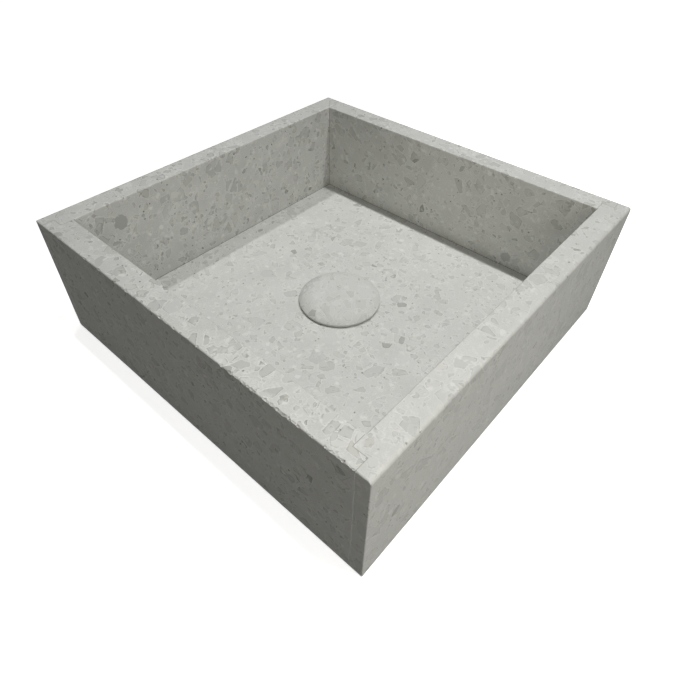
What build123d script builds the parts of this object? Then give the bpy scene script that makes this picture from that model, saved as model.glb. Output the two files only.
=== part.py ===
from build123d import *
import math
import os

os.makedirs("parts", exist_ok=True)

# Square countertop basin: five bonded terrazzo slabs and a push-to-open waste with a stone cap.
# Millimetres, +Z up. The origin is the centre of the underside, which rests on the worktop.

# Stone vessel
basin_width = 330.0        # along X
basin_depth = 330.0        # along Y
basin_height = 110.0
wall_thickness = 20.0
floor_thickness = 20.0
wall_tongue = 10.0         # outer leaf left by the step at each wall end
glue_line = 0.4            # thickness of every glued joint
edge_ease = 0.8            # flat taken off each exposed edge

# Waste hole through the floor slab
waste_hole_radius = 23.0
nut_recess_radius = 40.0
nut_recess_depth = 8.0

# Waste body: flange, seat, threaded tail and the bridge across its bore
flange_radius = 33.0
flange_thickness = 2.5
flange_land = 1.5          # flat ring at the flange's rim, flush with the floor
flange_dish = 1.0
seat_width = 4.0
seat_drop = 3.0
tail_radius = 20.955       # G 1 1/4 thread, over its crests
tail_wall = 3.0
tail_drop = 55.0           # below the underside of the basin
thread_lead = 1.5
trap_thread_length = 41.0  # from the tail's end, for the trap's union nut
thread_relief_depth = 1.5  # turned groove between the trap's thread and the back nut's
thread_relief_width = 2.0
bridge_drop = 26.0         # from the bowl's floor to the bridge's top
bridge_height = 6.0
bridge_arms = 4
bridge_arm_width = 3.5
boss_radius = 9.5

# Seals, washer and nut that hold the waste in the slab
flange_seal_thickness = 1.0
gasket_radius = 31.0
gasket_thickness = 4.0
gasket_plug_height = 3.5
gasket_plug_taper = 1.2
washer_thickness = 1.5
back_nut_flats = 56.0
back_nut_height = 8.0
back_nut_corner_cut = 1.5

# Stone cap and its metal carrier
cap_radius = 36.0
cap_gap = 1.0              # under the closed cap
cap_height = 8.5
cap_rim_height = 2.2       # from the cap's underside to the foot of its shoulder
cap_rim_ease = 0.7         # rounding where the shoulder meets the upright rim
cap_lower_ease = 0.5
cap_shoulder_radius = 18.0
cap_lift = 9.0             # travel from closed to open
carrier_radius = 30.0
carrier_thickness = 2.0
carrier_hub_radius = 9.0
carrier_hub_length = 9.0
cap_bond_thickness = 0.3
seal_thickness = 3.0
seal_lip_width = 3.0

# Push-push latch inside the waste
rod_radius = 4.0
rod_end_gap = 0.5          # between the rod's end and the cap bond
sleeve_radius = 7.0
sleeve_wall = 1.5
sleeve_top_drop = 12.0     # from the bowl's floor to the sleeve's top
sleeve_lip_thickness = 2.0
sleeve_collar_thickness = 2.0
latch_ribs = 4
guide_rib_height = 0.9
guide_rib_angle = 44.0
index_rib_angle = 34.0
crown_height = 3.0
tooth_height = 1.2
tooth_land_share = 0.06    # share of each tooth's pitch left flat
index_height = 6.0
spigot_radius = 2.0
spigot_length = 8.0
spring_length = 13.0       # compressed, with the cap closed
spring_wire = 0.9
spring_turns = 6
spring_wire_sides = 8      # the round wire is drawn with eight flats
plug_thickness = 4.0
plug_key_flats = 5.0
plug_key_depth = 2.5
latch_nut_flats = 20.0
latch_nut_height = 5.0
latch_nut_corner_cut = 0.8
nut_corner_angle = 30.0    # of the turned-back corners, from the nut's flat faces

# Clearances
fit_clearance = 0.05       # round fits of pieces that stay together
running_clearance = 0.08   # round fits of pieces that slide
seat_clearance = 0.15      # closed seal to its seat
stop_clearance = 0.1       # axial, at stops and between stacked pieces
rebate_clearance = 0.5     # round the flange in its rebate
recess_clearance = 0.3     # round the carrier in the cap

# Heights and radii worked out from the sizes above
floor_top = floor_thickness
inner_x = basin_width / 2 - wall_thickness
inner_y = basin_depth / 2 - wall_thickness
step = wall_thickness - wall_tongue
flange_under = floor_top - flange_thickness
rebate_depth = flange_thickness + flange_seal_thickness
tail_bore = tail_radius - tail_wall
tail_end = -tail_drop
relief_under = tail_end + trap_thread_length
relief_top = relief_under + thread_relief_width + 2 * thread_relief_depth
relief_radius = tail_radius - thread_relief_depth
seat_radius = tail_bore + seat_width
seat_top = floor_top - flange_dish
seat_bottom = seat_top - seat_drop
bridge_top = floor_top - bridge_drop
bridge_under = bridge_top - bridge_height
thread_hole = tail_radius + fit_clearance
gasket_under = nut_recess_depth - gasket_thickness
washer_under = gasket_under - washer_thickness
back_nut_under = washer_under - back_nut_height
cap_under = floor_top + cap_gap
cap_top = cap_under + cap_height
carrier_top = cap_under + carrier_thickness
bond_top = carrier_top + cap_bond_thickness
hub_under = cap_under - carrier_hub_length
sleeve_top = floor_top - sleeve_top_drop
sleeve_bore = sleeve_radius - sleeve_wall
lip_under = sleeve_top - sleeve_lip_thickness
slot_radius = sleeve_bore - guide_rib_height
crown_top = lip_under - cap_lift - stop_clearance
crown_under = crown_top - crown_height
index_top = crown_under - stop_clearance
index_under = index_top - index_height
spring_top = index_under - stop_clearance
plug_top = spring_top - spring_length
sleeve_under = plug_top - plug_thickness
rod_top = bond_top - rod_end_gap
sleeve_hole = sleeve_radius + fit_clearance
latch_nut_under = bridge_under - latch_nut_height


def turned(points):
    """Turn an outline of (radius, height) points about the waste axis."""
    outline = make_face(Polyline(*points, close=True))
    return revolve(Plane.XZ * outline, Axis.Z)


def ring(outer, inner, bottom, top):
    """Flat ring round the waste axis."""
    return turned([(inner, bottom), (outer, bottom), (outer, top), (inner, top)])


def disc(radius, bottom, top):
    """Round disc or rod on the waste axis."""
    solid = Cylinder(radius, top - bottom, align=(Align.CENTER, Align.CENTER, Align.MIN))
    return Pos(0, 0, bottom) * solid


def block(width, depth, bottom, top):
    """Rectangular block centred on the waste axis."""
    solid = Box(width, depth, top - bottom, align=(Align.CENTER, Align.CENTER, Align.MIN))
    return Pos(0, 0, bottom) * solid


def hexagon(flats, bottom, top):
    """Plain hexagon on the waste axis."""
    return Pos(0, 0, bottom) * extrude(RegularPolygon(flats / 2, 6, major_radius=False), top - bottom)


def nut(flats, hole, bottom, top, corner_cut):
    """Hexagon nut with its corners turned back at both ends."""
    corner = flats / 2 / math.cos(math.pi / 6)
    face = corner - corner_cut
    rise = corner_cut * math.tan(math.radians(nut_corner_angle))
    outline = [(0, bottom), (face, bottom), (corner, bottom + rise)]
    outline += [(corner, top - rise), (face, top), (0, top)]
    return (hexagon(flats, bottom, top) & turned(outline)) - disc(hole, bottom, top)


def sector(outer, inner, bottom, top, angle, direction):
    """Part of a ring, angle degrees wide, about a direction in degrees."""
    outline = [(inner, bottom), (outer, bottom), (outer, top), (inner, top)]
    face = Plane.XZ * make_face(Polyline(*outline, close=True))
    return Rot(0, 0, direction - angle / 2) * revolve(face, Axis.Z, angle)


def round_the_axis(count, make, start=0.0):
    """Fuse count copies of what make(direction) gives."""
    pieces = [make(start + 360 * i / count) for i in range(count)]
    return pieces[0] + pieces[1:]


# The vessel

def joint_corners(side, end, shift):
    """Plan of the stepped joint in one corner, from bowl to outside, moved by shift off the side wall."""
    leg_one = inner_x - shift
    leg_two = inner_x + step - shift
    turn = inner_y + step + shift
    points = [(leg_one, inner_y), (leg_one, turn), (leg_two, turn), (leg_two, basin_depth / 2)]
    return [(side * x, end * y) for x, y in points]


def upright(points):
    """Plan outline taken up to the full height of the basin."""
    return extrude(make_face(Polyline(*points, close=True)), basin_height)


def eased_shell():
    """All four walls in one, with every exposed edge eased."""
    outer = block(basin_width, basin_depth, 0, basin_height)
    outer = chamfer(outer.edges(), edge_ease)
    bowl = block(2 * inner_x, 2 * inner_y, 0, basin_height)
    shell = outer - bowl
    rim = shell.faces().sort_by(Axis.Z)[-1]
    return chamfer(rim.inner_wires()[0].edges(), edge_ease)


def side_wall(side):
    """Left or right wall: its outer leaf runs the full depth of the basin."""
    front = joint_corners(side, -1, 0)
    back = joint_corners(side, 1, 0)
    outside = [(side * basin_width / 2, -basin_depth / 2), (side * basin_width / 2, basin_depth / 2)]
    return upright(front + outside + back[::-1])


def end_wall(end):
    """Front or back wall, let in between the side walls' outer leaves."""
    left = joint_corners(-1, end, glue_line)
    right = joint_corners(1, end, glue_line)
    return upright(left + right[::-1])


def corner_glue_strips():
    """The glue in the four stepped joints."""
    strips = []
    for side in (-1, 1):
        for end in (-1, 1):
            near = joint_corners(side, end, 0)
            far = joint_corners(side, end, glue_line)
            strips.append(upright(near + far[::-1]))
    return strips


def bottom_slab():
    """Floor slab with the waste hole, the flange's rebate and the recess for the nut."""
    slab = block(2 * (inner_x - glue_line), 2 * (inner_y - glue_line), 0, floor_top)
    slab -= disc(waste_hole_radius, 0, floor_top)
    slab -= disc(flange_radius + rebate_clearance, floor_top - rebate_depth, floor_top)
    return slab - disc(nut_recess_radius, 0, nut_recess_depth)


def floor_glue():
    """The glue line all round the floor slab."""
    filled = block(2 * inner_x, 2 * inner_y, 0, floor_top)
    return filled - block(2 * (inner_x - glue_line), 2 * (inner_y - glue_line), 0, floor_top)


# The waste

def waste_body():
    """Flange with its dished top and cone seat, threaded tail, and the bridge with its boss."""
    shell = turned([
        (tail_bore, tail_end),
        (tail_radius - thread_lead, tail_end),
        (tail_radius, tail_end + thread_lead),
        (tail_radius, relief_under),
        (relief_radius, relief_under + thread_relief_depth),
        (relief_radius, relief_top - thread_relief_depth),
        (tail_radius, relief_top),
        (tail_radius, flange_under),
        (flange_radius, flange_under),
        (flange_radius, floor_top),
        (flange_radius - flange_land, floor_top),
        (seat_radius, seat_top),
        (tail_bore, seat_bottom),
    ])
    reach = tail_bore + tail_wall / 2

    def arm(direction):
        bar = Box(reach, bridge_arm_width, bridge_height, align=(Align.MIN, Align.CENTER, Align.MIN))
        return Rot(0, 0, direction) * Pos(0, 0, bridge_under) * bar

    bridge = round_the_axis(bridge_arms, arm, 180 / bridge_arms)
    bridge += disc(boss_radius, bridge_under, bridge_top)
    bridge -= disc(sleeve_hole, bridge_under, bridge_top)
    return shell + bridge


def lower_gasket():
    """Flat gasket with a tapered collar that centres it in the waste hole."""
    collar = waste_hole_radius - recess_clearance
    return turned([
        (thread_hole, gasket_under),
        (gasket_radius, gasket_under),
        (gasket_radius, nut_recess_depth),
        (collar, nut_recess_depth),
        (collar - gasket_plug_taper, nut_recess_depth + gasket_plug_height),
        (thread_hole, nut_recess_depth + gasket_plug_height),
    ])


# The cap

def stone_cap():
    """Low cap: flat top, broad round shoulder and a short upright rim, hollowed for the carrier."""
    foot = cap_under + cap_rim_height
    lean = math.acos(1 - (cap_top - foot) / cap_shoulder_radius)
    flat = cap_radius - cap_shoulder_radius * math.sin(lean)

    def on_shoulder(angle):
        drop = cap_shoulder_radius * (1 - math.cos(angle))
        return (flat + cap_shoulder_radius * math.sin(angle), cap_top - drop)

    shoulder = ThreePointArc(on_shoulder(0), on_shoulder(lean / 2), on_shoulder(lean))
    recess = carrier_radius + recess_clearance
    below = Polyline(
        on_shoulder(lean),
        (cap_radius, cap_under + cap_lower_ease),
        (cap_radius - cap_lower_ease, cap_under),
        (recess, cap_under),
        (recess, bond_top),
        (0, bond_top),
        (0, cap_top),
        on_shoulder(0),
    )
    cap = revolve(Plane.XZ * make_face(shoulder + below), Axis.Z)
    rim_edges = cap.edges().filter_by(GeomType.CIRCLE).group_by(SortBy.RADIUS)[-1]
    return fillet(rim_edges.sort_by(Axis.Z)[-1], cap_rim_ease)


def cap_carrier():
    """Metal disc with a hub whose thread takes the plunger's rod."""
    body = disc(carrier_radius, cap_under, carrier_top)
    body += disc(carrier_hub_radius, hub_under, cap_under)
    return body - disc(rod_radius + fit_clearance, hub_under, carrier_top)


def cap_seal():
    """Rubber seal under the carrier, with a lip that follows the cone of the seat."""
    slope = seat_drop / seat_width
    lift_off = seat_clearance * math.hypot(1, slope)

    def on_cone(radius):
        return (radius, seat_bottom + (radius - tail_bore) * slope + lift_off)

    inner = carrier_hub_radius + fit_clearance
    lip_outer = seat_radius - seat_clearance
    lip_inner = lip_outer - seal_lip_width
    under = cap_under - seal_thickness
    return turned([
        (inner, under),
        (lip_inner - seal_lip_width / 2, under),
        on_cone(lip_inner),
        on_cone(lip_outer),
        (lip_outer, cap_under),
        (inner, cap_under),
    ])


# The latch

def tooth_ring(base):
    """Ring of saw teeth, twice as many as the latch has ribs, standing on the height base."""
    count = 2 * latch_ribs
    half = math.radians(180 / count) * (1 - tooth_land_share)
    tip = base + tooth_height

    def tooth(direction):
        sections = []
        for radius in (spigot_radius / 2, sleeve_radius):
            width = radius * math.tan(half)
            corners = [(radius, -width, base), (radius, width, base), (radius, width, tip)]
            sections.append(make_face(Polyline(*corners, close=True)))
        return Rot(0, 0, direction) * loft(sections, ruled=True)

    return round_the_axis(count, tooth)


def sliding_ribs(outer, bottom, top):
    """Ribs of a sliding piece that run in the slots between the sleeve's guide ribs."""
    inner = slot_radius / 2

    def rib(direction):
        return sector(outer, inner, bottom, top, index_rib_angle, direction)

    return round_the_axis(latch_ribs, rib)


def plunger():
    """Rod, toothed crown with four keys, and the spigot that carries the index ring."""
    crown = disc(slot_radius - running_clearance, crown_under, crown_top)
    crown += sliding_ribs(sleeve_bore - running_clearance, crown_under, crown_top)
    crown -= tooth_ring(crown_under)
    spigot_end = crown_under - spigot_length
    rod = disc(rod_radius, crown_top, rod_top)
    return crown + rod + disc(spigot_radius, spigot_end, crown_top)


def index_ring():
    """Ring with four ribs and saw teeth on top that match the crown's."""
    outer = slot_radius - running_clearance
    tooth_top = index_top + tooth_height
    body = disc(outer, index_under, index_top)
    body += sliding_ribs(sleeve_bore - running_clearance, index_under, index_top)
    teeth = tooth_ring(index_top) & disc(outer, index_top, tooth_top)
    return body + teeth - disc(spigot_radius + running_clearance, index_under, tooth_top)


def latch_sleeve():
    """Housing of the latch: lip at the top, guide ribs inside, and a collar that sits on the bridge."""
    sleeve = ring(sleeve_radius, sleeve_bore, sleeve_under, lip_under)
    sleeve += ring(sleeve_radius, rod_radius + running_clearance, lip_under, sleeve_top)
    sleeve += ring(boss_radius, sleeve_bore, bridge_top, bridge_top + sleeve_collar_thickness)
    embed = sleeve_wall / 2
    low = index_top + tooth_height

    def guide(direction):
        return sector(sleeve_bore + embed, slot_radius, low, lip_under, guide_rib_angle, direction)

    return sleeve + round_the_axis(latch_ribs, guide, 180 / latch_ribs)


def latch_spring():
    """Compression spring between the plug and the index ring."""
    mean = (sleeve_bore + spigot_radius) / 2
    height = spring_length - spring_wire - 2 * fit_clearance
    bottom = plug_top + spring_wire / 2 + fit_clearance
    path = Pos(0, 0, bottom) * Helix(height / spring_turns, height, mean)
    wire = RegularPolygon(spring_wire / 2, spring_wire_sides)
    return sweep(Plane(origin=path @ 0, z_dir=path % 0) * wire, path)


def latch_plug():
    """Plug that closes the sleeve and seats the spring, with a hexagon socket for a key."""
    plug = disc(sleeve_bore - fit_clearance, sleeve_under, plug_top)
    return plug - hexagon(plug_key_flats, sleeve_under, sleeve_under + plug_key_depth)


shell = eased_shell()
parts = {
    "bottom_slab": bottom_slab(),
    "front_wall": shell & end_wall(-1),
    "back_wall": shell & end_wall(1),
    "left_wall": shell & side_wall(-1),
    "right_wall": shell & side_wall(1),
    "corner_glue": Compound([shell & strip for strip in corner_glue_strips()]),
    "floor_glue": floor_glue(),
    "waste_body": waste_body(),
    "flange_seal": ring(flange_radius, waste_hole_radius, floor_top - rebate_depth, flange_under),
    "lower_gasket": lower_gasket(),
    "slip_washer": ring(gasket_radius, thread_hole, washer_under, gasket_under),
    "back_nut": nut(back_nut_flats, thread_hole, back_nut_under, washer_under, back_nut_corner_cut),
    "waste_cap": stone_cap(),
    "cap_bond": disc(carrier_radius, carrier_top, bond_top),
    "cap_carrier": cap_carrier(),
    "cap_seal": cap_seal(),
    "plunger": plunger(),
    "index_ring": index_ring(),
    "latch_sleeve": latch_sleeve(),
    "latch_spring": latch_spring(),
    "latch_plug": latch_plug(),
    "latch_nut": nut(latch_nut_flats, sleeve_hole, latch_nut_under, bridge_under, latch_nut_corner_cut),
}
for name, shape in parts.items():
    export_step(shape, f"parts/{name}.step")
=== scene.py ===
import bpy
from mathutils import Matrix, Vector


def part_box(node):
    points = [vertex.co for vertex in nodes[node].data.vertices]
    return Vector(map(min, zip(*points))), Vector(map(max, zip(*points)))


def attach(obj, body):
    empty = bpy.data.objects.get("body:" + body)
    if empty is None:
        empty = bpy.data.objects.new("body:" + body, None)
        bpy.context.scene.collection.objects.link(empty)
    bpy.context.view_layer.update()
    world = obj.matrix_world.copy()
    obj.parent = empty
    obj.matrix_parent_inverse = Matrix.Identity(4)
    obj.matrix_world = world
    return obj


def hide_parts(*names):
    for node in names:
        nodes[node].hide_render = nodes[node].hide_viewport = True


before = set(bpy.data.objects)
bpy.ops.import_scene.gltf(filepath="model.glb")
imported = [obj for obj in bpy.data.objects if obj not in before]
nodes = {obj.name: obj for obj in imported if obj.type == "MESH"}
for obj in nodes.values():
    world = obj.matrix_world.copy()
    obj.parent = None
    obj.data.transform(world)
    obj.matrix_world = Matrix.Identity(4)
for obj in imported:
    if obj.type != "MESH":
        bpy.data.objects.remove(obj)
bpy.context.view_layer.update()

import math
import random

import bpy
from mathutils import Vector, noise

# Square countertop basin: bonded terrazzo slabs, and a push-to-open waste under a stone cap.
# Metres, +Z up, origin at the centre of the underside. Front is -Y, right is +X.

mm = 0.001

# Vessel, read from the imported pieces
side_low, side_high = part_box("right_wall")
half_width, half_depth, rim_height = side_high
bowl_x = side_low.x
bowl_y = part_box("back_wall")[0].y
glue_line = bowl_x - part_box("bottom_slab")[1].x
leaf_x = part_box("back_wall")[1].x + glue_line      # where the side walls' outer leaves begin
leaf_y = bowl_y + leaf_x - bowl_x
spare = 10 * mm                                    # how far cutting blocks reach past what they cut
same_plane = 0.01 * mm                             # heights and sides nearer than this are the same

# Eased edges of the vessel, as radii
worn_arris = 3.0 * mm         # top outer edge of the right wall, rubbed rounder than the rest
top_arris = 1.0 * mm
foot_arris = 0.9 * mm
corner_arris = 0.7 * mm
bowl_arris = 0.7 * mm

# Flakes knocked out of the top edges
flake_seed = 11
flake_length = (3, 9)         # least and most, in times the flake's depth
flake_slant = 0.2             # most that a flake lies out of line with its edge, in radians
egg_radius = 3                # of the egg that scoops a flake out, in times the flake's depth
egg_lumps = 1.9               # lumps of the egg's skin, per radius
egg_roughness = 0.3           # height of those lumps, as a share of the radius
elbow_room = 1.3              # room kept free for an egg, in times its reach

# Where they are. The front right edge is crumbled all along.
# (way the edge faces, its distance from the middle, stretch from and to in mm, flakes,
# least and most depth in mm)
knocked_edges = [
    ((0, -1, 0), half_depth, -160, -60, 24, 0.3, 0.8),
    ((0, -1, 0), half_depth, -60, 158, 150, 0.25, 1.0),
    ((0, -1, 0), half_depth, 60, 150, 9, 0.8, 1.4),
    ((1, 0, 0), half_width, -158, 158, 26, 0.3, 0.9),
    ((0, 1, 0), half_depth, -158, 158, 12, 0.3, 0.8),
    ((-1, 0, 0), half_width, -158, 158, 12, 0.3, 0.8),
    ((0, 1, 0), -bowl_y, -140, 140, 6, 0.3, 0.7),
    ((-1, 0, 0), -bowl_x, -140, 140, 8, 0.3, 0.7),
    ((0, -1, 0), -bowl_y, -140, 140, 6, 0.3, 0.7),
    ((1, 0, 0), -bowl_x, -140, 140, 6, 0.3, 0.7),
]

# Threads
tail_crest = 20.955 * mm          # G 1 1/4 thread on the tail, over its crests
tail_root = 19.476 * mm
tail_pitch = 2.309 * mm
tail_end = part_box("waste_body")[0].z
tail_groove = -14 * mm            # foot of the relief groove above the thread
sleeve_crest = 7.0 * mm           # M14 x 1 thread that the bridge and the lock nut take
sleeve_root = 6.4 * mm
sleeve_pitch = 1.0 * mm
sleeve_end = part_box("latch_sleeve")[0].z
sleeve_thread_top = -17.2 * mm    # just under the lock nut


# Modelling

def only(*pieces):
    """Select these pieces alone, the last one active."""
    bpy.ops.object.select_all(action="DESELECT")
    for piece in pieces:
        piece.select_set(True)
    bpy.context.view_layer.objects.active = pieces[-1]


def settle(piece):
    """Put the piece's place, turn and size into its mesh."""
    only(piece)
    bpy.ops.object.transform_apply(location=True, rotation=True, scale=True)
    return piece


def modify(piece, kind, **settings):
    """Add a modifier and apply it."""
    only(piece)
    modifier = piece.modifiers.new(kind.lower(), kind)
    for name, value in settings.items():
        setattr(modifier, name, value)
    bpy.ops.object.modifier_apply(modifier=modifier.name)


def block(low, high):
    """Cube stretched between two corners, in whichever order they come."""
    low, high = Vector(low), Vector(high)
    bpy.ops.object.select_all(action="DESELECT")
    bpy.ops.mesh.primitive_cube_add(size=1, location=(low + high) / 2)
    cube = bpy.context.object
    cube.scale = [abs(b - a) for a, b in zip(low, high)]
    return settle(cube)


def carve(piece, tool, operation="DIFFERENCE"):
    """Boolean with a tool that is then thrown away."""
    modify(piece, "BOOLEAN", object=tool, operation=operation, solver="MANIFOLD")
    bpy.data.objects.remove(tool)


def copied(piece, name):
    """Copy with its own mesh."""
    twin = piece.copy()
    twin.data = piece.data.copy()
    twin.name = name
    bpy.context.scene.collection.objects.link(twin)
    return twin


def finished(piece, body, slot, *replaced):
    """Smooth the rounds, keep the flats flat, and hand the piece to its body in place of its CAD nodes."""
    smallest = 0.0005 * mm
    only(piece)
    bpy.ops.object.mode_set(mode="EDIT")
    bpy.ops.mesh.select_all(action="SELECT")
    bpy.ops.mesh.remove_doubles(threshold=smallest)
    bpy.ops.mesh.dissolve_degenerate(threshold=smallest)
    bpy.ops.mesh.dissolve_limited(angle_limit=math.radians(0.05), delimit={"MATERIAL"})
    bpy.ops.object.mode_set(mode="OBJECT")
    bpy.ops.object.shade_smooth_by_angle(angle=math.radians(40))
    modify(piece, "WEIGHTED_NORMAL", keep_sharp=True)
    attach(piece, body)
    if replaced:
        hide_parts(*replaced)


# Materials

def linear(hex_colour):
    """sRGB hex to the linear colour that shaders take."""
    parts = [int(hex_colour[i:i + 2], 16) / 255 for i in (1, 3, 5)]
    return [c / 12.92 if c <= 0.04045 else ((c + 0.055) / 1.055) ** 2.4 for c in parts] + [1.0]


def add(tree, kind, inputs=(), **settings):
    """Add a node. An input takes a value, a socket, or a node whose first output is meant."""
    made = tree.nodes.new(kind)
    for name, value in settings.items():
        setattr(made, name, value)
    for name, value in dict(inputs).items():
        if isinstance(value, bpy.types.Node):
            value = value.outputs[0]
        if isinstance(value, bpy.types.NodeSocket):
            tree.links.new(value, made.inputs[name])
        else:
            made.inputs[name].default_value = value
    return made


def maths(tree, operation, *values):
    """One step of arithmetic."""
    return add(tree, "ShaderNodeMath", dict(enumerate(values)), operation=operation)


def vectors(tree, operation, *values):
    """One step of arithmetic on points."""
    return add(tree, "ShaderNodeVectorMath", dict(enumerate(values)), operation=operation)


def mapped(tree, value, start=0.0, end=1.0, low=0.0, high=1.0):
    """The value's run from start to end, stretched to run from low to high and held level beyond."""
    return add(tree, "ShaderNodeMapRange", {"Value": value, "From Min": start, "From Max": end,
                                            "To Min": low, "To Max": high})


def clouds(tree, place, size, detail):
    """Smooth noise whose lumps are about this size."""
    return add(tree, "ShaderNodeTexNoise", {"Vector": place, "Scale": 1 / size, "Detail": detail})


def blend(tree, share, first, second):
    """Number between two others."""
    return add(tree, "ShaderNodeMix", {0: share, 2: first, 3: second}, data_type="FLOAT")


def blend_colours(tree, share, first, second):
    """Colour between two others."""
    return add(tree, "ShaderNodeMix", {0: share, 6: first, 7: second}, data_type="RGBA").outputs[2]


def ramp(tree, value, positions, colours):
    """Colour ramp with these hex colours at these positions."""
    made = add(tree, "ShaderNodeValToRGB", {0: value})
    elements = made.color_ramp.elements
    while len(elements) < len(positions):
        elements.new(0.5)
    for element, position, colour in zip(elements, positions, colours):
        element.position = position
        element.color = linear(colour)
    return made.outputs[0]


def surface(name, **inputs):
    """Material with one Principled shader and the sockets given by name, plus Object coordinates."""
    material = bpy.data.materials.new(name)
    material.use_nodes = True
    tree = material.node_tree
    tree.nodes.clear()
    shader = add(tree, "ShaderNodeBsdfPrincipled", {key.replace("_", " "): v for key, v in inputs.items()})
    add(tree, "ShaderNodeOutputMaterial", {"Surface": shader})
    place = add(tree, "ShaderNodeTexCoord").outputs["Object"]
    return material, tree, shader, place


def finish_with(tree, shader, colour, roughness, height, strength, depth):
    """Join the colour, the roughness and a bump of this depth to the shader."""
    tree.links.new(colour, shader.inputs["Base Color"])
    tree.links.new(roughness.outputs[0], shader.inputs["Roughness"])
    bump = add(tree, "ShaderNodeBump", {"Height": height, "Strength": strength, "Distance": depth})
    tree.links.new(bump.outputs[0], shader.inputs["Normal"])


# Terrazzo. Tones run from 0, darkest, to 1, palest, through two sets of greys.
tone_steps = (0.0, 0.4, 0.6, 0.8, 1.0)
cool_greys = ("#66665F", "#9FA09B", "#B6B7B3", "#CCCDC9", "#E0E1DD")
warm_greys = ("#6A635A", "#A39D94", "#BBB5AC", "#D0CCC4", "#E2DFD9")
cement_tone = 0.80
cement_warmth = 0.2
warmest = 0.2                 # share of the warm greys in the warmest chip
edge_wander = 1.5 * mm        # how far the chips' outlines wander off straight lines
soft_edge = 0.25              # mm over which the edge of a chip blurs
pale_rim = 0.65               # mm of paler cement round a chip
rim_lift = 0.07               # how much paler it is
dark_line = 0.9               # mm inside a chip over which the dark line along its edge fades
line_drop = -0.26             # how much darker that line is
large_chip_tone = 0.62
large_chip_wander = 6 * mm
speck_cell = 3 * mm
speck_share = 0.035           # share of those cells that hold a dark grain

# Stone chips: large, middling, a few dark ones, and small, each laid over the ones before.
# (cell in mm, share of cells that hold a chip, least and most bedding round it as a share of the cell,
# darkest and palest tone, stretch)
chip_sizes = [
    (12, 0.48, 0.03, 0.26, 0.70, 0.82, (1.0, 0.8, 1.2)),
    (7.5, 0.48, 0.03, 0.28, 0.70, 0.86, (1.2, 0.9, 0.8)),
    (9, 0.06, 0.14, 0.34, 0.50, 0.66, (0.9, 1.3, 1.0)),
    (4.5, 0.35, 0.06, 0.30, 0.66, 0.94, (1.1, 0.9, 1.2)),
]


def lay_chips(tree, point, seam, size, tone, warmth):
    """Lay the chips of one size into the cement, and give the tone and warmth that come of it."""
    cell, share, least, most, dark, pale, stretch = chip_sizes[size]
    turned = add(tree, "ShaderNodeMapping", {"Vector": point, "Rotation": (size, 2.1 * size, 0.7 * size),
                                             "Scale": stretch})
    cells = {"Vector": turned, "Scale": 1 / (cell * mm)}
    chip = add(tree, "ShaderNodeTexVoronoi", cells, feature="F1")
    edge = add(tree, "ShaderNodeTexVoronoi", cells, feature="DISTANCE_TO_EDGE")
    draw = add(tree, "ShaderNodeSeparateColor", {0: chip.outputs["Color"]})
    held = maths(tree, "LESS_THAN", draw.outputs[0], share)
    bedding = mapped(tree, draw.outputs[1], low=least, high=most)
    depth = maths(tree, "SUBTRACT", edge, bedding)
    mask = maths(tree, "MULTIPLY", mapped(tree, depth, end=soft_edge / cell), held)
    rim = maths(tree, "MULTIPLY", mapped(tree, depth, start=-pale_rim / cell, end=0, high=rim_lift), held)
    tone = maths(tree, "ADD", tone, rim)
    line = mapped(tree, depth, end=dark_line / cell, low=1, high=0)
    own = mapped(tree, draw.outputs[2], low=dark, high=pale)
    own = maths(tree, "MULTIPLY_ADD", line, seam, own)
    return blend(tree, mask, tone, own), blend(tree, mask, warmth, draw.outputs[1])


def lay_large_chip(tree, place, swing, middle, radius, tone):
    """Lay one chip of this radius round a point of the basin."""
    outline = vectors(tree, "MULTIPLY_ADD", swing, (large_chip_wander,) * 3, place)
    reach = vectors(tree, "DISTANCE", outline, middle).outputs["Value"]
    mask = mapped(tree, reach, start=radius, end=radius - 0.3 * mm)
    return blend(tree, mask, tone, large_chip_tone)


def strew_specks(tree, point, tone):
    """Strew small round dark grains over cement and chips."""
    speck = add(tree, "ShaderNodeTexVoronoi", {"Vector": point, "Scale": 1 / speck_cell}, feature="F1")
    draw = add(tree, "ShaderNodeSeparateColor", {0: speck.outputs["Color"]})
    held = maths(tree, "LESS_THAN", draw.outputs[0], speck_share)
    grain = mapped(tree, speck.outputs["Distance"], start=0.16, end=0.30, low=1, high=0)
    own = mapped(tree, draw.outputs[2], low=0.15, high=0.6)
    return blend(tree, maths(tree, "MULTIPLY", grain, held), tone, own)


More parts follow.
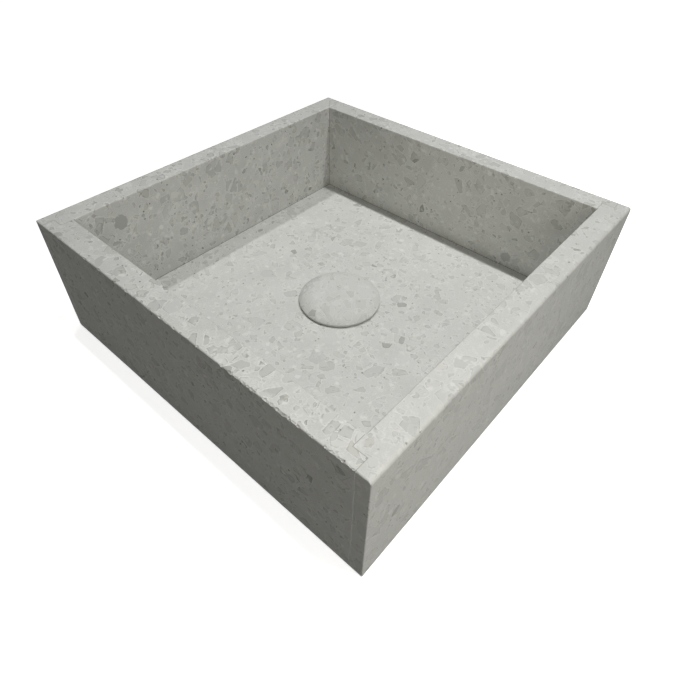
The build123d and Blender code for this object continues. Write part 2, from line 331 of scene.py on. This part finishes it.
def terrazzo(name, seed, contrast=1.0, lightness=0.0, large_chip=None, broken=False):
    """Terrazzo: grey and white marble chips in a pale cement, ground flat and honed matt.
    The cut chips are straight edged and low in contrast. Some show a dark line along part of their edge,
    and the cement is paler round them. The seed says where in the block the slab was sawn out.
    A slab may show one chip far larger than the rest: (its middle, its radius)."""
    material, tree, shader, in_basin = surface(name, Specular_IOR_Level=0.12)
    shift = (0.31 * seed, 0.17 * seed, 0.23 * seed)
    turn = (0.4 * seed, 0.9 * seed, 1.7 * seed)
    place = add(tree, "ShaderNodeMapping", {"Vector": in_basin, "Location": shift, "Rotation": turn})
    rough_edge = clouds(tree, place, 3.5 * mm, 3)
    swing = vectors(tree, "SUBTRACT", rough_edge.outputs["Color"], (0.5, 0.5, 0.5))
    point = vectors(tree, "MULTIPLY_ADD", swing, (edge_wander,) * 3, place)
    seam = mapped(tree, rough_edge, start=0.48, end=0.58, high=line_drop)

    # Cement: cloudy over 10 to 40 mm, sandy below 1 mm
    cloud = clouds(tree, place, 24 * mm, 2)
    sand = clouds(tree, place, 0.9 * mm, 2)
    tone = mapped(tree, cloud, start=0.3, end=0.7, low=cement_tone - 0.03, high=cement_tone + 0.03)
    grain = mapped(tree, sand, start=0.3, end=0.7, low=-0.04, high=0.04)
    tone = maths(tree, "ADD", tone, grain)
    warmth = cement_warmth

    for size in range(len(chip_sizes)):
        tone, warmth = lay_chips(tree, point, seam, size, tone, warmth)
    if large_chip:
        tone = lay_large_chip(tree, in_basin, swing, *large_chip, tone)
    tone = strew_specks(tree, point, tone)

    tone = maths(tree, "MULTIPLY_ADD", tone, contrast, cement_tone * (1 - contrast) + lightness)
    cool = ramp(tree, tone, tone_steps, cool_greys)
    warm = ramp(tree, tone, tone_steps, warm_greys)
    colour = blend_colours(tree, maths(tree, "MULTIPLY", warmth, warmest), cool, warm)
    roughness = mapped(tree, cloud, low=0.6, high=0.72)
    strength, depth = (0.9, 0.35 * mm) if broken else (0.15, 0.05 * mm)
    finish_with(tree, shader, colour, roughness, sand, strength, depth)
    return material


def turned_metal(name, colour, roughness, feed, tarnish=None, wear=0.12):
    """Metal finished on a lathe: rings one feed apart catch the light, and handling leaves cloudy patches."""
    material, tree, shader, place = surface(name, Metallic=1.0)
    ring_gap = 0.314          # between the rings of a Wave texture at scale 1
    uneven = {"Distortion": 1.2, "Detail": 2, "Detail Scale": 3}
    rings = add(tree, "ShaderNodeTexWave", {"Vector": place, "Scale": ring_gap / feed, **uneven},
                wave_type="RINGS", rings_direction="Z")
    cloud = clouds(tree, place, 6 * mm, 4)
    tint = blend_colours(tree, cloud, linear(colour), linear(tarnish or colour))
    rough = mapped(tree, cloud, start=0.3, end=0.7, low=roughness, high=roughness + wear)
    finish_with(tree, shader, tint, rough, rings, 0.25, 0.02 * mm)
    return material


def moulded(name, colour, faded, roughness, grain, depth, **inputs):
    """Moulded or cured plastic and rubber: an even skin with a fine texture and slow changes of tone."""
    material, tree, shader, place = surface(name, **inputs)
    cloud = clouds(tree, place, 8 * mm, 3)
    skin = clouds(tree, place, grain, 2)
    tint = blend_colours(tree, cloud, linear(colour), linear(faded))
    rough = mapped(tree, skin, low=roughness - 0.06, high=roughness + 0.06)
    finish_with(tree, shader, tint, rough, skin, 0.3, depth)
    return material


# How each slab differs from the next: (seed, contrast of its chips, lightness, large chip if it has one). The
# lightness is partly the slab's own tone and partly painted light and shade, which set how bright each wall
# looks under the lamps
slab_settings = {
    "bottom_slab": (1, 1.15, 0.04),
    "front_wall": (2, 1.4, -0.02),
    "back_wall": (3, 1.4, 0.0, ((82.5 * mm, 145 * mm, 30 * mm), 5.2 * mm)),
    "left_wall": (4, 1.5, 0.01, ((-145 * mm, -109.5 * mm, 90.5 * mm), 6.5 * mm)),
    "right_wall": (5, 1.0, -0.01),
    "waste_cap": (6, 0.8, 0.02),
}
stone = {node: terrazzo("honed_terrazzo_" + node, *cut) for node, cut in slab_settings.items()}
# The same stone where a flake has come out: broken and not ground, so it is rough. Its paleness is partly the
# broken stone's own and partly painted light, lifting the shade in the flakes' hollows
fracture_and_painted_highlight = terrazzo("broken_terrazzo_and_painted_highlight", 7, contrast=0.5, lightness=0.24, broken=True)

# Epoxy tinted to the slabs: wiped flush at the corners, so it shows as a fine grey line
corner_bond = moulded("tinted_epoxy", "#A3A29B", "#93928B", 0.5, 0.8 * mm, 0.03 * mm, IOR=1.55)
# The same epoxy under the walls, coloured near black: its colour is painted shade of the gap along the walls'
# foot
floor_bond_painted_gap_shade = moulded("epoxy_painted_gap_shade", "#4C4A45", "#383632", 0.8, 0.8 * mm, 0.05 * mm, IOR=1.55)
# Epoxy thickened with stone flour under the cap: grey, matt and a little lumpy
cap_adhesive = moulded("filled_epoxy", "#94948E", "#86867F", 0.6, 1.2 * mm, 0.1 * mm, IOR=1.55)
# Chrome on turned and polished brass: mirror-like, with the faintest lathe rings
chrome = turned_metal("chromed_turned_brass", "#D9DBDD", 0.06, 0.5 * mm, wear=0.06)
# Bare free-cutting brass: yellow, rings from the lathe plain to see, dulled in patches
brass = turned_metal("turned_free_cutting_brass", "#C9AE66", 0.26, 0.4 * mm, tarnish="#A98E50")
# Stainless steel sheet, faced and brushed round: grey and silky
steel = turned_metal("faced_stainless_steel", "#C3C4C6", 0.27, 0.35 * mm, tarnish="#B8B9BB")
# Cold drawn stainless spring wire: smooth, a little darker from its lubricant
wire = turned_metal("drawn_spring_wire", "#B0B2B4", 0.3, 0.3 * mm, tarnish="#9C9DA0")
# Moulded EPDM rubber: near black with a grey bloom and a matt grain
rubber = moulded("moulded_epdm_rubber", "#1B1C1D", "#2B2C2D", 0.62, 0.5 * mm, 0.04 * mm, IOR=1.5)
# Natural polyethylene: waxy, milky and slightly see-through
polyethylene = moulded("natural_polyethylene", "#E6E6E1", "#DCDCD5", 0.42, 1 * mm, 0.02 * mm, IOR=1.51,
                       Subsurface_Weight=0.3, Subsurface_Radius=(2 * mm,) * 3)
# Natural acetal: ivory white and slippery smooth
acetal = moulded("natural_acetal", "#DEDCD3", "#D5D3C9", 0.3, 1 * mm, 0.01 * mm, IOR=1.48,
                 Subsurface_Weight=0.15, Subsurface_Radius=(1 * mm,) * 3)

# What each CAD node that keeps its shape is made of
made_of = {
    "bottom_slab": stone["bottom_slab"],
    "waste_cap": stone["waste_cap"],
    # dark epoxy whose colour paints the shade of the gap under the walls
    "floor_glue": floor_bond_painted_gap_shade,
    "cap_bond": cap_adhesive,
    "latch_plug": chrome,
    "back_nut": brass,
    "latch_nut": brass,
    "cap_carrier": steel,
    "latch_spring": wire,
    "slip_washer": polyethylene,
    "flange_seal": rubber,
    "lower_gasket": rubber,
    "cap_seal": rubber,
    "plunger": acetal,
    "index_ring": acetal,
}


def dress(piece, *materials):
    """Give the piece these materials, in the order of its slots."""
    slots = piece.data.materials
    slots.clear()
    for material in materials:
        slots.append(material)


# Walls

def outer_arris(a, b):
    """Radius of an edge of the bare block, from its two ends."""
    if abs(a.z - b.z) > same_plane:
        return corner_arris
    if a.z < rim_height / 2:
        return foot_arris
    return worn_arris if min(a.x, b.x) > half_width - same_plane else top_arris


def inner_arris(a, b):
    """Radius of an edge once the bowl is open: only the bowl's rim is rounded."""
    at_top = min(a.z, b.z) > rim_height - same_plane
    in_x = max(abs(a.x), abs(b.x)) < bowl_x + same_plane
    in_y = max(abs(a.y), abs(b.y)) < bowl_y + same_plane
    return bowl_arris if at_top and in_x and in_y else 0.0


def ease(piece, arris):
    """Round the piece's edges, each by its own radius."""
    mesh = piece.data
    name = "bevel_weight_edge"
    weight = mesh.attributes.get(name) or mesh.attributes.new(name, "FLOAT", "EDGE")
    for edge in mesh.edges:
        a, b = (mesh.vertices[i].co for i in edge.vertices)
        weight.data[edge.index].value = arris(a, b) / worn_arris
    modify(piece, "BEVEL", width=worn_arris, segments=5, limit_method="WEIGHT")


def shell_of_walls():
    """All four walls as one block with its edges rounded and the bowl cut through."""
    shell = block((-half_width, -half_depth, 0), (half_width, half_depth, rim_height))
    ease(shell, outer_arris)
    carve(shell, block((-bowl_x, -bowl_y, -spare), (bowl_x, bowl_y, rim_height + spare)))
    ease(shell, inner_arris)
    return shell


def flake(rough_ball, place, along, length, depth):
    """Egg that scoops a shell-shaped flake out of an arris. Its middle lies outside, on the diagonal."""
    egg = copied(rough_ball, "flake")
    seed = Vector((place.x, place.y, length)) / mm
    for vertex in egg.data.vertices:
        vertex.co *= 1 + egg_roughness * noise.noise(vertex.co * egg_lumps + seed)
    egg.scale = (length / 2, egg_radius * depth, egg_radius * depth)
    egg.rotation_euler.z = along
    egg.location = place
    return settle(egg)


def flakes_on_top():
    """The flakes along the top edges, shared out among cutting tools in which no two flakes touch."""
    chance = random.Random(flake_seed)
    bpy.ops.object.select_all(action="DESELECT")
    bpy.ops.mesh.primitive_ico_sphere_add(subdivisions=3, radius=1)
    rough_ball = bpy.context.object
    tools = []
    for outward, reach, first, last, count, least, most in knocked_edges:
        outward = Vector(outward)
        run = Vector((-outward.y, outward.x, 0))
        heading = math.atan2(run.y, run.x)
        for _ in range(count):
            depth = mm * (least + (most - least) * chance.random() ** 2)
            length = depth * chance.uniform(*flake_length)
            at = mm * chance.uniform(first, last)
            out = (egg_radius - 1) * depth / math.sqrt(2)
            place = run * at + outward * (reach + out) + Vector((0, 0, rim_height + out))
            along = heading + chance.uniform(-flake_slant, flake_slant)
            egg = flake(rough_ball, place, along, length, depth)
            room = elbow_room * max(length / 2, egg_radius * depth)
            for eggs in tools:
                if all((place - other).length > room + size for other, size, _ in eggs):
                    break
            else:
                eggs = []
                tools.append(eggs)
            eggs.append((place, room, egg))
    bpy.data.objects.remove(rough_ball)
    for eggs in tools:
        only(*(egg for _, _, egg in eggs))
        bpy.ops.object.join()
        yield bpy.context.object


def side_wall(shell, side, name):
    """Left or right wall: its outer leaf runs the full depth of the basin."""
    wall = copied(shell, name)
    far_x, far_y, top = side * (half_width + spare), half_depth + spare, rim_height + spare
    carve(wall, block((side * bowl_x, -far_y, -spare), (far_x, far_y, top)), "INTERSECT")
    for end in (-1, 1):
        near = (side * (bowl_x - spare), end * leaf_y, -spare)
        carve(wall, block(near, (side * leaf_x, end * far_y, top)))
    return wall


def end_wall(shell, end, name):
    """Front or back wall, let in between the side walls' outer leaves."""
    wall = copied(shell, name)
    far_y, top = end * (half_depth + spare), rim_height + spare
    reach = leaf_x - glue_line
    carve(wall, block((-reach, end * (bowl_y - spare), -spare), (reach, far_y, top)), "INTERSECT")
    for side in (-1, 1):
        near = (side * (bowl_x - glue_line), end * (bowl_y - 2 * spare), -spare)
        carve(wall, block(near, (side * (half_width + spare), end * (leaf_y + glue_line), top)))
    return wall


def corner_bond_strip(shell, side, end):
    """The glue in one stepped joint."""
    strip = copied(shell, "bond")
    far_y, top = end * (half_depth + spare), rim_height + spare
    near = (side * (bowl_x - glue_line), end * bowl_y, -spare)
    carve(strip, block(near, (side * leaf_x, far_y, top)), "INTERSECT")
    near = (side * bowl_x, end * (bowl_y - spare), -spare)
    carve(strip, block(near, (side * (leaf_x + spare), end * leaf_y, top)))
    near = (side * (bowl_x - spare), end * (leaf_y + glue_line), -spare)
    carve(strip, block(near, (side * (leaf_x - glue_line), far_y, top)))
    return strip


shell = shell_of_walls()
dress(shell, stone["front_wall"], fracture_and_painted_highlight)
for tool in flakes_on_top():
    dress(tool, stone["front_wall"], fracture_and_painted_highlight)
    for face in tool.data.polygons:
        face.material_index = 1
    carve(shell, tool)
for side, word in ((-1, "left"), (1, "right")):
    slab = side_wall(shell, side, word + "_slab")
    dress(slab, stone[word + "_wall"], fracture_and_painted_highlight)
    finished(slab, "basin", "terrazzo", word + "_wall")
for end, word in ((-1, "front"), (1, "back")):
    slab = end_wall(shell, end, word + "_slab")
    dress(slab, stone[word + "_wall"], fracture_and_painted_highlight)
    finished(slab, "basin", "terrazzo", word + "_wall")
strips = [corner_bond_strip(shell, side, end) for side in (-1, 1) for end in (-1, 1)]
only(*strips)
bpy.ops.object.join()
bond_lines = bpy.context.object
bond_lines.name = "corner_bond_lines"
dress(bond_lines, corner_bond, fracture_and_painted_highlight)
finished(bond_lines, "basin", "joint_glue", "corner_glue")
bpy.data.objects.remove(shell)


# Threads, cut on copies of the turned parts

def cylinder(radius, low, high):
    """Upright cylinder on the waste's axis."""
    bpy.ops.object.select_all(action="DESELECT")
    bpy.ops.mesh.primitive_cylinder_add(vertices=96, radius=radius, depth=high - low,
                                        location=(0, 0, (low + high) / 2))
    return settle(bpy.context.object)


def thread_ridge(crest, root, pitch, low, high):
    """Helical ridge from low to high: one tooth's outline swept by Screw. Its foot is sunk in the core."""
    turns = math.floor((high - low) / pitch) - 1
    steps = 48 * turns
    start = low + 0.6 * pitch
    foot, half_foot, half_crest = root - 0.1 * mm, 0.47 * pitch, 0.08 * pitch
    bpy.ops.object.select_all(action="DESELECT")
    bpy.ops.mesh.primitive_plane_add(size=1)
    ridge = bpy.context.object
    corners = [(foot, -half_foot), (crest, -half_crest), (foot, half_foot), (crest, half_crest)]
    for vertex, (radius, up) in zip(ridge.data.vertices, corners):
        vertex.co = (radius, 0, start + up)
    modify(ridge, "SCREW", angle=2 * math.pi * turns, screw_offset=pitch * turns, steps=steps,
           render_steps=steps, use_normal_calculate=True)
    only(ridge)
    bpy.ops.object.mode_set(mode="EDIT")
    bpy.ops.mesh.select_all(action="SELECT")
    bpy.ops.mesh.remove_doubles(threshold=0.001 * mm)
    bpy.ops.mesh.fill_holes(sides=4)
    bpy.ops.mesh.normals_make_consistent(inside=False)
    bpy.ops.object.mode_set(mode="OBJECT")
    return ridge


def threaded(node, name, crest, root, pitch, low, high):
    """Copy of a chromed part: its plain cylinder is cut down to the root and the ridge laid on that."""
    part = copied(nodes[node], name)
    only(part)
    bpy.ops.object.mode_set(mode="EDIT")
    bpy.ops.mesh.select_all(action="SELECT")
    bpy.ops.mesh.remove_doubles(threshold=0.002 * mm)
    bpy.ops.object.mode_set(mode="OBJECT")
    ring = cylinder(crest + 2 * mm, low - mm, high)
    carve(ring, cylinder(root, low - 2 * mm, high + mm))
    carve(part, ring)
    ridge = thread_ridge(crest, root, pitch, low, high)
    dress(ridge, chrome)
    dress(part, chrome)
    only(ridge, part)
    bpy.ops.object.join()
    finished(part, "basin", "chromed_brass", node)


threaded("waste_body", "waste_outlet", tail_crest, tail_root, tail_pitch, tail_end, tail_groove)
threaded("latch_sleeve", "latch_housing", sleeve_crest, sleeve_root, sleeve_pitch, sleeve_end,
         sleeve_thread_top)

for node, material in made_of.items():
    dress(nodes[node], material)


# Studio

# Camera of the photograph. The sight line meets its picture at this point, in pixels.
photo_side = 675
sight_across, sight_down = 336.4, 320.5
camera_data = bpy.data.cameras.new("camera")
camera = bpy.data.objects.new("camera", camera_data)
bpy.context.scene.collection.objects.link(camera)
camera.location = (0.2399, -0.2771, 0.3431)
camera.rotation_euler = [math.radians(a) for a in (46.47, -0.595, 41.86)]
camera_data.lens = 29.1
camera_data.shift_x = (photo_side / 2 - sight_across) / photo_side
camera_data.shift_y = (sight_down - photo_side / 2) / photo_side
camera_data.clip_start = 0.01
bpy.context.scene.camera = camera

# Plain pale floor
bpy.ops.object.select_all(action="DESELECT")
bpy.ops.mesh.primitive_plane_add(size=12)
floor = bpy.context.object
floor.name = "studio_floor"
floor.location.z = -0.1 * mm       # just under the basin's foot


def seen_or_mirrored(tree):
    """1 for what the camera sees straight, in a mirror or through glass, and 0 for light on its way."""
    path = add(tree, "ShaderNodeLightPath")
    first = maths(tree, "MAXIMUM", path.outputs["Is Camera Ray"], path.outputs["Is Glossy Ray"])
    return maths(tree, "MAXIMUM", first, path.outputs["Is Transmission Ray"])


def white_paper():
    """Matt white paper: white to the eye, dark to the light that would bounce off it on to the basin."""
    material, tree, shader, _ = surface("matt_white_paper", Roughness=0.9, Emission_Color=(1, 1, 1, 1))
    seen = seen_or_mirrored(tree)
    tint = blend_colours(tree, seen, linear("#1C1C1C"), linear("#E6E6E4"))
    tree.links.new(tint, shader.inputs["Base Color"])
    glow = maths(tree, "MULTIPLY", seen, 0.78)
    tree.links.new(glow.outputs[0], shader.inputs["Emission Strength"])
    return material


def white_sky():
    """Surroundings that are white to the eye and give the basin only a trace of light from all round."""
    world = bpy.data.worlds.new("studio")
    bpy.context.scene.world = world
    world.use_nodes = True
    tree = world.node_tree
    tree.nodes.clear()
    level = mapped(tree, seen_or_mirrored(tree), low=0.03, high=1.0)
    sky = add(tree, "ShaderNodeBackground", {"Color": (1, 1, 1, 1), "Strength": level})
    add(tree, "ShaderNodeOutputWorld", {"Surface": sky})


def lamp(name, kind, place, target, strength, **settings):
    """Lamp at a place, turned to a target."""
    data = bpy.data.lights.new(name, kind)
    data.energy = strength
    for key, value in settings.items():
        setattr(data, key, value)
    made = bpy.data.objects.new(name, data)
    bpy.context.scene.collection.objects.link(made)
    made.location = place
    made.rotation_euler = (Vector(target) - made.location).to_track_quat("-Z", "Y").to_euler()
    made.visible_camera = False


dress(floor, white_paper())
white_sky()

warm_white = (1, 0.975, 0.91)
cream = (1, 0.965, 0.83)
# Two spots 2 m up and a little behind, one to each side, throw the walls' narrow shadows on the floor
lamp("left_spot", "SPOT", (-0.565, 0.344, 2.0), (0.12, 0.10, 0.1), 49,
     spot_size=math.radians(32), spot_blend=1, shadow_soft_size=0.04)
lamp("right_spot", "SPOT", (0.60, 0.344, 2.0), (0.16, -0.10, 0.1), 21,
     spot_size=math.radians(28), spot_blend=1, shadow_soft_size=0.04)
# An even lamp from above, leaning to the right and the back
lamp("right_far", "SUN", (0.249, 0.110, 1), (0, 0, 0), 0.22 * math.pi, angle=math.radians(1.5))
# Soft warm lamps low on the right, so that the right wall's face is paler than the front wall's
lamp("front_right_softbox", "AREA", (0.6, -0.5, 0.45), (0, 0, 0.05), 0.93, size=0.3, color=warm_white)
lamp("right_softbox", "AREA", (0.75, -0.05, 0.2), (0, 0, 0.05), 0.54, size=0.3, color=warm_white)
lamp("near_softbox", "AREA", (0.22, -0.14, 0.35), (0.1, -0.1, 0.05), 0.13, size=0.1, color=warm_white)
lamp("right_card", "AREA", (0.45, -0.06, 0.02), (0, -0.06, 0.02), 0.1,
     shape="RECTANGLE", size=0.3, size_y=0.04, color=warm_white)
# A small lamp high over the back right corner, a faint one in front, and a spot on the back wall's inside
lamp("back_right_lamp", "AREA", (0.33, 0.239, 1.0), (0, 0, 0.05), 1.2, size=0.05)
lamp("front_softbox", "AREA", (0.1, -0.9, 0.3), (0, 0, 0.05), 0.165, size=0.4, color=cream)
lamp("inner_back_spot", "SPOT", (0.08, -0.13, 0.2), (0.05, 0.145, 0.11), 0.36,
     spot_size=math.radians(56), spot_blend=1, shadow_soft_size=0.02, color=warm_white)
# Two cards lower than the rim light the outer back and left faces and nothing inside the bowl
lamp("back_card", "AREA", (0, 0.75, 0.05), (0, 0, 0.05), 0.95, shape="RECTANGLE", size=0.5, size_y=0.08)
lamp("left_card", "AREA", (-0.75, 0, 0.05), (0, 0, 0.05), 0.7, shape="RECTANGLE", size=0.5, size_y=0.08)

bpy.context.scene.view_settings.view_transform = "Standard"
